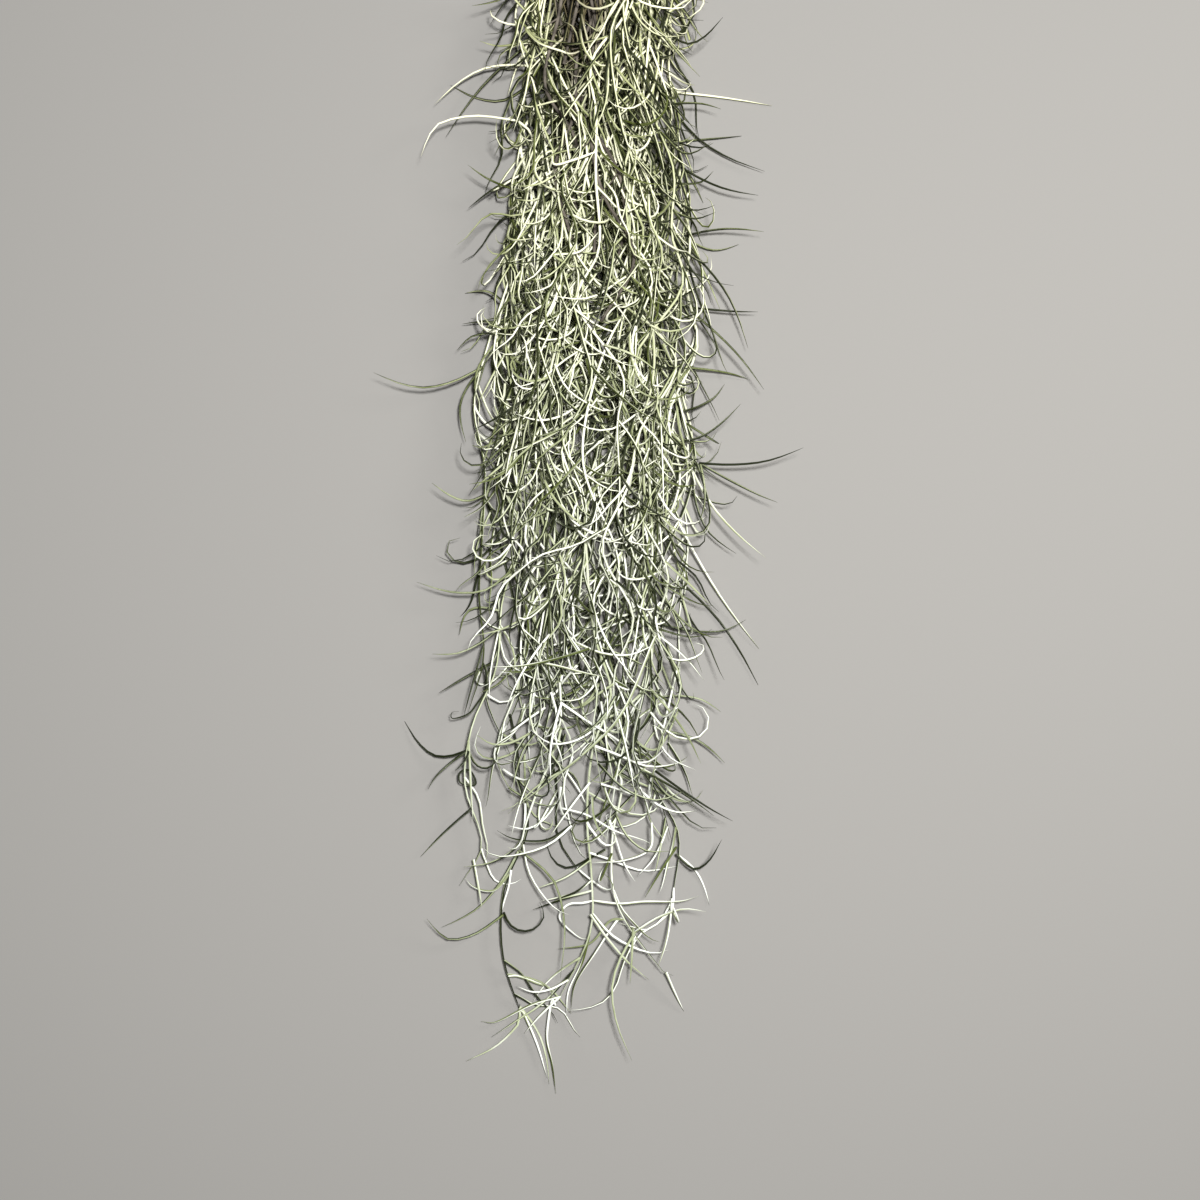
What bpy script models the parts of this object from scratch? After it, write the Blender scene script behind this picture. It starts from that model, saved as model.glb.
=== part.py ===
"""A bunch of Spanish moss as picked, lying on a surface: leafy strands folded over at the head, and old
bare stems in the heart of it. Metres, +Z up, the head towards +Y, the origin under the middle of the
bunch's box."""

import math
import random

import bmesh
import bpy
import numpy as np
from mathutils import Quaternion, Vector

SEED = 21
LENGTH = 0.600
STRANDS = 46
OLD_STEMS = 6
LEAVES = 460

# From the head: distance along the bunch, half its width, its height, and how far its middle lies across
SECTIONS = (
    (0.000, 0.018, 0.028, 0.003),
    (0.044, 0.043, 0.042, 0.003),
    (0.074, 0.040, 0.046, 0.001),
    (0.144, 0.046, 0.048, 0.006),
    (0.194, 0.051, 0.048, 0.004),
    (0.294, 0.053, 0.047, 0.000),
    (0.394, 0.050, 0.040, -0.004),
    (0.444, 0.049, 0.034, -0.004),
    (0.494, 0.044, 0.024, -0.002),
    (0.540, 0.026, 0.014, -0.004),
    (0.600, 0.012, 0.010, -0.012),
)
LANE_SHARE = 0.88

STEM_RADIUS = 0.00085
STEM_END_RADIUS = 0.00058
LEAF_RADIUS = 0.00078
FOOT_RADIUS = 0.00048
LEAF_START = 0.72
GAP = 0.00035
INTERNODE = 0.031
ZIGZAG = 0.0036
FOLD_WIDTH = 0.010
FLAT_SHARE = 0.5

# Where a strand leaves the body of the bunch: points across and along, from the upper end
GUIDES = (
    ((-0.040, 0.105), (-0.053, 0.098), (-0.051, 0.086), (-0.0595, 0.070), (-0.0585, 0.046),
     (-0.0535, 0.025), (-0.053, -0.004), (-0.056, -0.029), (-0.056, -0.054), (-0.053, -0.080),
     (-0.062, -0.101)),
    ((-0.045, -0.064), (-0.049, -0.094), (-0.0625, -0.112), (-0.070, -0.124), (-0.061, -0.144),
     (-0.052, -0.162), (-0.060, -0.1765), (-0.068, -0.192)),
    ((0.005, -0.134), (-0.0025, -0.159), (0.001, -0.184), (0.0015, -0.2065), (-0.006, -0.2265),
     (-0.0175, -0.246)),
    ((0.010, -0.154), (0.0135, -0.184), (0.014, -0.209), (0.0135, -0.2215), (0.030, -0.229),
     (0.0415, -0.234)),
    ((0.025, 0.056), (0.035, 0.041), (0.055, 0.025), (0.066, 0.016)),
    ((-0.030, -0.150), (-0.037, -0.184), (-0.051, -0.199), (-0.050, -0.2165), (-0.036, -0.236),
     (-0.036, -0.250)),
    ((0.0325, -0.139), (0.045, -0.164), (0.0435, -0.184), (0.040, -0.204)),
)

# Leaves that stand clear of the bunch, across and along: foot, bend and tip
STRAYS = (
    ((-0.035, 0.233), (-0.055, 0.225), (-0.079, 0.208)),
    ((-0.035, 0.241), (-0.055, 0.217), (-0.0735, 0.192)),
    ((-0.045, 0.2095), (-0.075, 0.196), (-0.0845, 0.1775)),
    ((-0.035, 0.212), (-0.0475, 0.211), (-0.0715, 0.2195)),
    ((-0.037, 0.236), (-0.045, 0.235), (-0.0555, 0.2365)),
    ((-0.045, 0.161), (-0.050, 0.166), (-0.061, 0.1735)),
    ((-0.042, 0.1735), (-0.050, 0.1635), (-0.062, 0.155)),
    ((-0.042, 0.111), (-0.0525, 0.113), (-0.064, 0.113)),
    ((-0.060, 0.070), (-0.0825, 0.063), (-0.1085, 0.070)),
    ((-0.060, 0.070), (-0.0655, 0.056), (-0.063, 0.036)),
    ((-0.0515, 0.0875), (-0.0585, 0.0895), (-0.0675, 0.0825)),
    ((-0.0475, 0.0945), (-0.055, 0.0975), (-0.065, 0.0965)),
    ((-0.055, 0.0035), (-0.064, 0.006), (-0.079, 0.0145)),
    ((-0.041, -0.028), (-0.056, -0.040), (-0.0875, -0.035)),
    ((-0.055, -0.039), (-0.0615, -0.049), (-0.0665, -0.0615)),
    ((-0.0525, -0.0615), (-0.064, -0.070), (-0.079, -0.071)),
    ((-0.0575, -0.074), (-0.065, -0.084), (-0.0765, -0.091)),
    ((-0.070, -0.1215), (-0.080, -0.123), (-0.095, -0.106)),
    ((-0.070, -0.124), (-0.0765, -0.1315), (-0.0815, -0.139)),
    ((-0.0535, -0.118), (-0.0625, -0.124), (-0.067, -0.129)),
    ((-0.062, -0.154), (-0.075, -0.163), (-0.0865, -0.175)),
    ((-0.0375, -0.184), (-0.055, -0.199), (-0.076, -0.2115)),
    ((-0.050, -0.2165), (-0.070, -0.2165), (-0.0825, -0.205)),
    ((-0.0175, -0.246), (-0.0215, -0.2665), (-0.017, -0.301)),
    ((-0.0175, -0.246), (-0.0375, -0.2615), (-0.0635, -0.280)),
    ((-0.036, -0.250), (-0.025, -0.269), (-0.021, -0.2915)),
    ((0.0135, -0.214), (0.011, -0.239), (0.021, -0.275)),
    ((0.0415, -0.234), (0.0445, -0.247), (0.048, -0.2545)),
    ((0.042, -0.194), (0.039, -0.214), (0.034, -0.229)),
    ((0.0375, -0.1665), (0.054, -0.180), (0.066, -0.164)),
    ((0.0475, -0.164), (0.055, -0.184), (0.061, -0.200)),
    ((0.025, -0.1965), (0.045, -0.1995), (0.058, -0.200)),
    ((-0.0215, -0.1665), (-0.0165, -0.189), (-0.015, -0.234)),
    ((0.0375, 0.217), (0.065, 0.2135), (0.093, 0.209)),
    ((0.035, 0.2435), (0.050, 0.2315), (0.066, 0.245)),
    ((0.0425, 0.215), (0.057, 0.190), (0.089, 0.1745)),
    ((0.046, 0.174), (0.065, 0.1645), (0.085, 0.1605)),
    ((0.041, 0.210), (0.055, 0.206), (0.066, 0.203)),
    ((0.0515, 0.1885), (0.0675, 0.1925), (0.0775, 0.1935)),
    ((0.0505, 0.1475), (0.068, 0.1435), (0.0875, 0.1415)),
    ((0.048, 0.140), (0.0625, 0.135), (0.076, 0.138)),
    ((0.054, 0.1285), (0.069, 0.110), (0.080, 0.0835)),
    ((0.058, 0.1135), (0.0725, 0.1025), (0.085, 0.102)),
    ((0.057, 0.100), (0.0725, 0.081), (0.0875, 0.062)),
    ((0.053, 0.0735), (0.070, 0.072), (0.081, 0.069)),
    ((0.054, 0.0575), (0.0625, 0.0585), (0.0685, 0.066)),
    ((0.0655, 0.017), (0.085, 0.025), (0.1065, 0.032)),
    ((0.066, 0.016), (0.0825, 0.010), (0.094, 0.005)),
    ((0.045, 0.036), (0.0575, 0.0385), (0.075, 0.0535)),
    ((0.045, 0.021), (0.065, -0.0015), (0.0875, -0.023)),
    ((0.0515, 0.0185), (0.058, -0.0065), (0.074, -0.0205)),
    ((0.0575, -0.0115), (0.065, -0.040), (0.0865, -0.069)),
    ((0.0425, -0.0265), (0.0675, -0.0565), (0.086, -0.0875)),
    ((0.050, -0.054), (0.065, -0.060), (0.079, -0.054)),
    ((0.045, -0.0865), (0.055, -0.094), (0.066, -0.1005)),
    ((0.044, -0.1065), (0.055, -0.1155), (0.0685, -0.127)),
    ((0.045, -0.1315), (0.0575, -0.1465), (0.071, -0.154)),
)


class Thicket:
    """Everything grown so far as straight segments, so that a new stem or leaf can be kept clear of it."""

    def __init__(self, room=12000):
        self.starts = np.zeros((room, 3))
        self.ends = np.zeros((room, 3))
        self.radii = np.zeros(room)
        self.owners = np.zeros(room, dtype=int)
        self.count = 0

    def add(self, points, radii, owner):
        for index in range(len(points) - 1):
            self.starts[self.count] = points[index]
            self.ends[self.count] = points[index + 1]
            self.radii[self.count] = max(radii[index], radii[index + 1])
            self.owners[self.count] = owner
            self.count += 1

    def is_clear(self, start, end, radius, owner, own_too=False, skip_last=0):
        """True when the segment keeps its distance from the others, and from its own strand where asked."""
        count = self.count
        if count == 0:
            return True
        p = np.array(start)
        d1 = np.array(end) - p
        starts = self.starts[:count]
        d2 = self.ends[:count] - starts
        r = p - starts
        a = float(d1 @ d1)
        e = np.einsum("ij,ij->i", d2, d2)
        f = np.einsum("ij,ij->i", d2, r)
        c = r @ d1
        b = d2 @ d1
        along = np.clip((b * f - c * e) / np.maximum(a * e - b * b, 1e-16), 0.0, 1.0)
        other = np.clip((b * along + f) / e, 0.0, 1.0)
        along = np.clip((b * other - c) / a, 0.0, 1.0)
        apart = r + along[:, None] * d1 - other[:, None] * d2
        room = np.sqrt(np.einsum("ij,ij->i", apart, apart)) - self.radii[:count] - radius - GAP
        own = self.owners[:count] == owner
        if own_too:
            if skip_last:
                room[np.nonzero(own)[0][-skip_last:]] = 1.0
        else:
            room[own] = 1.0
        return float(room.min()) > 0.0


class Strand:
    """One leafy stem: its nodes from the upper end to the tip, and its leaves as short rows of points."""

    def __init__(self, name, radius):
        self.name = name
        self.radius = radius
        self.nodes = []
        self.leaves = []

    def radii(self):
        last = max(1, len(self.nodes) - 1)
        end = min(self.radius, STEM_END_RADIUS)
        shares = [max(0.0, index / last - 0.7) / 0.3 for index in range(last)]
        return [self.radius + (end - self.radius) * share for share in shares] + [0.0]


def section(distance):
    """Half width, height and middle of the bunch at a distance from the head."""
    last = SECTIONS[0]
    for row in SECTIONS[1:]:
        if distance <= row[0]:
            share = max(0.0, (distance - last[0]) / (row[0] - last[0]))
            return [last[k] + (row[k] - last[k]) * share for k in (1, 2, 3)]
        last = row
    return list(SECTIONS[-1][1:])


def lane_point(u, v, distance):
    """A point of the lane across at u (-1 to 1) and up at v (0 to 1), at a distance from the head."""
    half, height, middle = section(distance)
    x = middle + u * half * LANE_SHARE
    z = FLAT_SHARE * STEM_RADIUS + v * (height * 0.92 - STEM_RADIUS)
    return Vector((x, LENGTH / 2 - distance, z))


def make_lanes(rng, count):
    """Lanes spread evenly through the half round of the bunch, the lowest ones on the surface."""
    lanes = []
    while len(lanes) < count:
        best = None
        for _ in range(24):
            u = rng.uniform(-1.0, 1.0)
            v = rng.uniform(-0.16, 1.0)
            if u * u + v * v > 1.0:
                continue
            v = max(0.0, v)
            room = min([(u - a) ** 2 + (0.85 * (v - b)) ** 2 for a, b in lanes] or [1.0])
            if best is None or room > best[0]:
                best = (room, u, v)
        if best:
            lanes.append((best[1], best[2]))
    return lanes


def guide_across(guide, y):
    """Where a guide lies across at y, or nothing above its first point."""
    if y > guide[0][1]:
        return None
    for upper, lower in zip(guide, guide[1:]):
        if y >= lower[1]:
            share = (upper[1] - y) / max(1e-6, upper[1] - lower[1])
            return upper[0] + (lower[0] - upper[0]) * share
    return guide[-1][0]


def grow_stem(thicket, rng, strand, owner, lane, begin, reach, guide=None):
    """Lay a stem down its lane in short zigzag steps, each one clear of every stem laid before."""
    u, v = lane
    wander = [rng.uniform(0.0, 6.28), rng.uniform(0.0, 6.28)]
    side = rng.choice((-1.0, 1.0))
    stops = []
    distance = begin
    if guide is None and rng.random() < 0.45:
        tail = rng.uniform(0.034, 0.064)
        turn_back = [(0.016, 1.0), (0.004, 0.8), (0.0, 0.3), (0.011, 0.0)]
        stops = [(begin + tail, 1.0)] + [(begin + ahead, aside) for ahead, aside in turn_back]
        distance = begin + 0.034
    folded = len(stops)
    while distance < reach:
        stops.append((distance, 0.0))
        distance += INTERNODE * rng.uniform(0.82, 1.16)
    if guide:
        stops.append((reach, 0.0))
    fold_side = FOLD_WIDTH * rng.choice((-1.0, 1.0))
    mark = thicket.count
    for index, (stop, aside) in enumerate(stops):
        side = -side
        for attempt in range(70):
            loose = 0.0012 + 0.00022 * attempt
            sway = 0.19 * math.sin(wander[0] + stop * 24.0) + 0.12 * math.sin(wander[1] + stop * 58.0)
            across = max(-1.05, min(1.05, u + sway))
            up = max(0.0, min(1.0, v * (1.0 + 0.24 * math.sin(wander[1] + stop * 27.0))))
            point = lane_point(across, up, min(stop, LENGTH - 0.001))
            if index < folded:
                loose *= 0.4
                point.x += aside * fold_side + rng.gauss(0.0, loose)
            else:
                point.x += side * ZIGZAG * rng.uniform(0.6, 1.4) + rng.gauss(0.0, loose)
                point.y += rng.gauss(0.0, 0.002)
            point.z += rng.gauss(0.0, loose) if v > 0.03 or attempt > 12 else 0.0
            pull = guide_across(guide, point.y) if guide else None
            if pull is not None:
                point.x = pull + rng.gauss(0.0, 0.0004 + 0.00008 * attempt)
            point.z = max(point.z, FLAT_SHARE * strand.radius)
            point.y = min(point.y, LENGTH / 2 - 0.001)
            if not strand.nodes:
                if thicket.is_clear(point, point - Vector((0.0, 0.004, 0.0)), 2.0 * strand.radius, owner):
                    strand.nodes.append(point)
                    break
                continue
            previous = strand.nodes[-1]
            if (point - previous).length < 0.003:
                continue
            if thicket.is_clear(previous, point, strand.radius, owner, own_too=True, skip_last=1):
                thicket.add([previous, point], [strand.radius, strand.radius], owner)
                strand.nodes.append(point)
                break
        else:
            if index > 7:
                return
            if index > 3:
                thicket.count = mark
                strand.nodes = []
                new_lane = (rng.uniform(-0.9, 0.9), rng.uniform(0.1, 0.7)) if guide is None else lane
                grow_stem(thicket, rng, strand, owner, new_lane, begin, reach, guide)
                return


def bent_leaf(root, along, out, length, bend, roll, parts):
    """The points of a leaf that leaves the stem forwards and recurves outwards."""
    points = [root]
    heading = along * math.cos(LEAF_START) + out * math.sin(LEAF_START)
    axis = Quaternion(heading, roll) @ along.cross(out).normalized()
    for index in range(parts):
        points.append(points[-1] + heading * (length / parts))
        heading = Quaternion(axis, bend / parts * (0.7 + 0.6 * index / max(1, parts - 1))) @ heading
    return points


def leaf_radii(count):
    """Full at the foot, a point at the tip."""
    return [FOOT_RADIUS] + [LEAF_RADIUS * (1.0 - (index / (count - 1)) ** 2.2) for index in range(1, count)]


def leaf_fits(thicket, points, owner, fringe):
    """Whether a leaf stays over the surface, within the bunch's fringe and clear of everything grown."""
    radii = leaf_radii(len(points))
    for index, point in enumerate(points[1:], 1):
        half, height, middle = section(min(LENGTH, LENGTH / 2 - point.y))
        if abs(point.x - middle) > half + fringe or point.z > height + 0.25 * fringe:
            return False
        if point.z < radii[index] + 0.0002 or abs(point.y) > LENGTH / 2 - 0.0005:
            return False
    for index in range(len(points) - 1):
        wide = max(radii[index], radii[index + 1])
        if not thicket.is_clear(points[index], points[index + 1], wide, owner, own_too=index > 0):
            return False
    return True


def grow_leaf(thicket, rng, strand, owner, place, turn):
    """Try leaves at one place on a stem until one fits."""
    index = min(int(place), len(strand.nodes) - 2)
    share = place - index
    lower = strand.nodes[index + 1]
    upper = strand.nodes[index]
    root = upper.lerp(lower, share)
    along = (lower - upper).normalized()
    aside = along.cross(Vector((0.0, 0.0, 1.0))).normalized()
    above = aside.cross(along).normalized()
    for attempt in range(34):
        rank = round((turn + rng.gauss(0.0, 0.5 + 0.05 * attempt)) / 2.0944)
        angle = math.radians(30.0) + 2.0944 * rank + rng.uniform(-0.25, 0.25)
        out = aside * math.cos(angle) + above * math.sin(angle)
        kind = rng.random()
        length = rng.uniform(0.030, 0.054) * (1.0 - 0.010 * attempt)
        roll = rng.gauss(0.0, 0.9)
        if kind < 0.62:
            bend = math.radians(rng.uniform(35.0, 125.0))
            parts = 3
        elif kind < 0.84:
            bend = math.radians(rng.uniform(-70.0, -10.0))
            parts = 3
        else:
            bend = math.radians(rng.uniform(150.0, 280.0))
            parts = 5
        points = bent_leaf(root, along, out, length, bend, roll, parts)
        if leaf_fits(thicket, points, owner, 0.012):
            thicket.add(points, leaf_radii(len(points)), owner)
            strand.leaves.append(points)
            return True
    return False


def grow_stray(thicket, rng, strands, stray):
    """A leaf that stands clear of the bunch, rooted on the nearest stem that leaves it room."""
    foot, bend, tip = [Vector((x, y, 0.0)) for x, y in stray]
    choices = []
    for owner, strand in enumerate(strands):
        for upper, lower in zip(strand.nodes, strand.nodes[1:]):
            root = upper.lerp(lower, 0.4)
            away = (root.xy - foot.xy).length
            choices.append((away + 0.10 * max(0.0, root.z - 0.030), owner, root))
    choices.sort(key=lambda row: row[0])
    for away, owner, root in choices[:60]:
        for _ in range(12):
            lift = rng.uniform(-0.010, 0.010)
            middle = Vector((bend.x, bend.y, max(0.0015, root.z + lift)))
            end = Vector((tip.x, tip.y, max(0.0015, root.z + lift * 1.6 + rng.uniform(-0.006, 0.006))))
            first = root.lerp(middle, 0.5)
            swing = (middle - root).normalized() - (end - middle).normalized()
            first += swing * 0.10 * (middle - root).length
            third = middle.lerp(end, 0.5) + swing * 0.10 * (end - middle).length
            points = [root, first, middle, third, end]
            if leaf_fits(thicket, points, owner, 0.060):
                thicket.add(points, leaf_radii(5), owner)
                strands[owner].leaves.append(points)
                return True
    return False


def grow_bunch():
    """Every strand and old stem of the bunch, stems first, then the leaves one round after another."""
    rng = random.Random(SEED)
    thicket = Thicket()
    strands = []
    old_stems = []
    lanes = make_lanes(rng, STRANDS)
    for index in range(OLD_STEMS):
        strand = Strand("old_stem_%d" % (index + 1), 0.00105)
        lane = (rng.uniform(-0.45, 0.25), rng.uniform(0.45, 0.82))
        reach = rng.uniform(0.15, 0.26)
        grow_stem(thicket, rng, strand, 1000 + index, lane, rng.uniform(0.004, 0.02), reach)
        old_stems.append(strand)
    for index, lane in enumerate(lanes):
        strand = Strand("strand_%02d" % (index + 1), STEM_RADIUS)
        guide = GUIDES[index] if index < len(GUIDES) else None
        begin = rng.uniform(0.002, 0.034)
        if guide:
            start_half, _, start_middle = section(LENGTH / 2 - guide[0][1])
            u = (guide[0][0] - start_middle) / (start_half * LANE_SHARE)
            lane = (max(-0.95, min(0.95, u)), 0.30 + 0.4 * (1.0 - abs(u)))
            reach = LENGTH / 2 - guide[-1][1]
            begin = max(begin, LENGTH / 2 - guide[0][1] - 0.30)
        else:
            lot = rng.random()
            if lot < 0.30:
                reach = rng.uniform(0.39, 0.43)
            else:
                reach = rng.uniform(0.43, 0.47)
            if -0.3 < lane[0] < 0.6 and lot > 0.7:
                reach = rng.uniform(0.47, 0.50)
        grow_stem(thicket, rng, strand, index, lane, begin, reach, guide)
        strands.append(strand)
    for stray in STRAYS:
        grow_stray(thicket, rng, strands, stray)
    turns = [rng.uniform(0.0, 6.28) for _ in strands]
    rounds = math.ceil(LEAVES / len(strands))
    for step in range(rounds):
        for owner, strand in enumerate(strands):
            spaces = len(strand.nodes) - 1
            place = int((step * 0.618034 % 1.0) * spaces) + rng.uniform(0.25, 0.7)
            side = math.pi * (int(place) % 2)
            grow_leaf(thicket, rng, strand, owner, place, turns[owner] + side + 0.5 * place)
    everything = strands + old_stems
    spots = [point for strand in everything for row in [strand.nodes] + strand.leaves for point in row]
    shift = Vector((
        -(min(p.x for p in spots) + max(p.x for p in spots)) / 2,
        -(min(p.y for p in spots) + max(p.y for p in spots)) / 2,
        0.0,
    ))
    for strand in everything:
        strand.nodes = [point + shift for point in strand.nodes]
        strand.leaves = [[point + shift for point in row] for row in strand.leaves]
    return strands, old_stems


def ring_axes(heading, last_aside):
    """Level axes across a heading, or the last ring's axes carried along where there is one."""
    if last_aside is None:
        aside = heading.cross(Vector((0.0, 0.0, 1.0)))
    else:
        aside = last_aside - heading * last_aside.dot(heading)
    if aside.length < 0.05:
        aside = heading.cross(Vector((0.0, 1.0, 0.0)))
    aside.normalize()
    return aside, aside.cross(heading).normalized()


def tube(name, points, radii, level):
    """A closed three sided tube that comes to a point; a level one keeps a flat side down."""
    bm = bmesh.new()
    bmesh.ops.create_circle(bm, cap_ends=True, segments=3, radius=1.0)
    face = bm.faces[:][0]
    count = len(points)
    aside = None
    for index, point in enumerate(points):
        before = (point - points[index - 1]).normalized() if index else None
        after = (points[index + 1] - point).normalized() if index < count - 1 else None
        heading = ((before or after) + (after or before)).normalized()
        if index:
            inner = face
            made = bmesh.ops.extrude_face_region(bm, geom=[face])
            face = [item for item in made["geom"] if isinstance(item, bmesh.types.BMFace)][0]
            if index > 1 and inner.is_valid:
                bmesh.ops.delete(bm, geom=[inner], context="FACES_ONLY")
        corners = [loop.vert for loop in face.loops]
        carried, _ = ring_axes(heading, aside)
        aside, above = ring_axes(heading, None if level and abs(heading.z) < 0.75 else aside)
        shift = 0.0
        if level:
            shift = min((0.0, 120.0, 240.0), key=lambda turn: (
                aside * math.cos(math.radians(turn)) + above * math.sin(math.radians(turn)) - carried).length)
        radius = max(radii[index], 1e-5)
        carried_aside = aside * math.cos(math.radians(shift)) + above * math.sin(math.radians(shift))
        for corner, vert in enumerate(corners):
            angle = math.radians(90.0 + shift + 120.0 * corner)
            vert.co = point + (aside * math.cos(angle) + above * math.sin(angle)) * radius
            vert.co.z = max(0.0, vert.co.z)
        aside = carried_aside
    bmesh.ops.pointmerge(bm, verts=face.verts[:], merge_co=points[-1])
    bmesh.ops.recalc_face_normals(bm, faces=bm.faces[:])
    if bm.calc_volume(signed=True) < 0.0:
        bmesh.ops.reverse_faces(bm, faces=bm.faces[:])
    mesh = bpy.data.meshes.new(name)
    bm.to_mesh(mesh)
    bm.free()
    piece = bpy.data.objects.new(name, mesh)
    bpy.context.scene.collection.objects.link(piece)
    return piece


def principled(name, colour, roughness):
    material = bpy.data.materials.new(name)
    material.use_nodes = True
    shader = material.node_tree.nodes["Principled BSDF"]
    shader.inputs["Base Color"].default_value = colour
    shader.inputs["Roughness"].default_value = roughness
    return material


def fuse(base, pieces):
    """Union the pieces into the base in one step and apply it."""
    group = bpy.data.collections.new(base.name + "_leaves")
    bpy.context.scene.collection.children.link(group)
    for piece in pieces:
        bpy.context.scene.collection.objects.unlink(piece)
        group.objects.link(piece)
    union = base.modifiers.new("Fuse leaves", "BOOLEAN")
    union.operation = "UNION"
    union.solver = "MANIFOLD"
    union.operand_type = "COLLECTION"
    union.collection = group
    depsgraph = bpy.context.evaluated_depsgraph_get()
    mesh = bpy.data.meshes.new_from_object(base.evaluated_get(depsgraph))
    base.modifiers.clear()
    base.data = mesh
    for piece in pieces:
        bpy.data.objects.remove(piece)
    bpy.data.collections.remove(group)


def build_strand(strand, material):
    """The stem and its leaves as one closed solid."""
    stem = tube(strand.name, strand.nodes, strand.radii(), True)
    leaves = [tube("leaf", points, leaf_radii(len(points)), False) for points in strand.leaves]
    if leaves:
        fuse(stem, leaves)
    stem.data.materials.clear()
    stem.data.materials.append(material)
    return stem


for leftover in list(bpy.data.objects):
    bpy.data.objects.remove(leftover)

strands, old_stems = grow_bunch()
moss = principled("moss", (0.34, 0.38, 0.25, 1.0), 0.85)
bark = principled("old_stem", (0.085, 0.07, 0.055, 1.0), 0.9)
for strand in strands:
    build_strand(strand, moss)
for strand in old_stems:
    build_strand(strand, bark)
print("leaves", sum(len(s.leaves) for s in strands))
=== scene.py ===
"""A bunch of Spanish moss on a plain surface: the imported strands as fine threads, with the fill between."""

import logging
import math
import random
from dataclasses import dataclass, field
from enum import Enum

import bmesh
import bpy
import numpy as np
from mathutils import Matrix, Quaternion, Vector


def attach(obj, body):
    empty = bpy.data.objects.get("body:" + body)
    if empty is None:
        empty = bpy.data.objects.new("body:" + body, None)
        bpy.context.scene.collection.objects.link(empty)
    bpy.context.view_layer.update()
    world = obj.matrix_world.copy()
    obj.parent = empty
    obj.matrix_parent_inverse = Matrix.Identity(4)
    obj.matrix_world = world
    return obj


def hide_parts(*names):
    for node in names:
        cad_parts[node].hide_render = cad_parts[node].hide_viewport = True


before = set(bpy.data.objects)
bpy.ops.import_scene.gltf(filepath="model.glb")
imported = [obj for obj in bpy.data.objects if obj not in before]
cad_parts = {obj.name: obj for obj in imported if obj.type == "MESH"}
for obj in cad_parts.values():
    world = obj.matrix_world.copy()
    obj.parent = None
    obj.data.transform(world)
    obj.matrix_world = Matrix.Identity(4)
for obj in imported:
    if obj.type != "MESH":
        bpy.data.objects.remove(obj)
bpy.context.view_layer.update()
LOG = logging.getLogger("moss")

SEED = 21
LENGTH = 0.600
STRANDS = 46
OLD_STEMS = 6
LEAVES = 460
LEAF_RINGS = 10
STEM_RINGS = 64

# From the head: distance along the bunch, half its width, its height, and how far its middle lies across
SECTIONS = (
    (0.000, 0.018, 0.028, 0.003),
    (0.044, 0.043, 0.042, 0.003),
    (0.074, 0.040, 0.046, 0.001),
    (0.144, 0.046, 0.048, 0.006),
    (0.194, 0.051, 0.048, 0.004),
    (0.294, 0.053, 0.047, 0.000),
    (0.394, 0.050, 0.040, -0.004),
    (0.444, 0.049, 0.034, -0.004),
    (0.494, 0.044, 0.024, -0.002),
    (0.540, 0.026, 0.014, -0.004),
    (0.600, 0.012, 0.010, -0.012),
)
LANE_SHARE = 0.88

STEM_RADIUS = 0.00085
OLD_STEM_RADIUS = 0.00105
LEAF_RADIUS = 0.00078
FOOT_RADIUS = 0.00048
LEAF_START = 0.72
GAP = 0.00035
INTERNODE = 0.031
ZIGZAG = 0.0036
FOLD_WIDTH = 0.010
FLAT_SHARE = 0.5

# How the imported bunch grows, with lengths in metres and turns in radians
LANE_TRIES = 24
STEM_TRIES = 70
LEAF_TRIES = 34
STRAY_ROOTS = 60
STRAY_TRIES = 12
FOLDED = 0.45
TURN_BACK = ((0.016, 1.0), (0.004, 0.8), (0.0, 0.3), (0.011, 0.0))
SWAYS = ((0.19, 24.0), (0.12, 58.0))
RISE = (0.24, 27.0)
SHORTER = 0.30
LONGER = 0.70
REACHES = ((0.39, 0.43), (0.43, 0.47), (0.47, 0.50))
LEAF_FRINGE = 0.012
STRAY_FRINGE = 0.060
PACKED_LENGTHS = (0.030, 0.054)
THIRD_TURN = 2.0944
GOLDEN = 0.618034
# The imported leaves: chance up to which each kind comes, least and most turn in degrees, straight parts
PACKED_CURLS = ((0.62, 35.0, 125.0, 3), (0.84, -70.0, -10.0, 3), (1.00, 150.0, 280.0, 5))

# Each row below holds points, across and then along the bunch, in millimetres from its middle
# Where a strand leaves the body of the bunch, from the upper end
GUIDES_MM = (
    (-40, 105, -53, 98, -51, 86, -59.5, 70, -58.5, 46, -53.5, 25, -53, -4, -56, -29, -56, -54, -53, -80,
     -62, -101),
    (-45, -64, -49, -94, -62.5, -112, -70, -124, -61, -144, -52, -162, -60, -176.5, -68, -192),
    (5, -134, -2.5, -159, 1, -184, 1.5, -206.5, -6, -226.5, -17.5, -246),
    (10, -154, 13.5, -184, 14, -209, 13.5, -221.5, 30, -229, 41.5, -234),
    (25, 56, 35, 41, 55, 25, 66, 16),
    (-30, -150, -37, -184, -51, -199, -50, -216.5, -36, -236, -36, -250),
    (32.5, -139, 45, -164, 43.5, -184, 40, -204),
)

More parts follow.
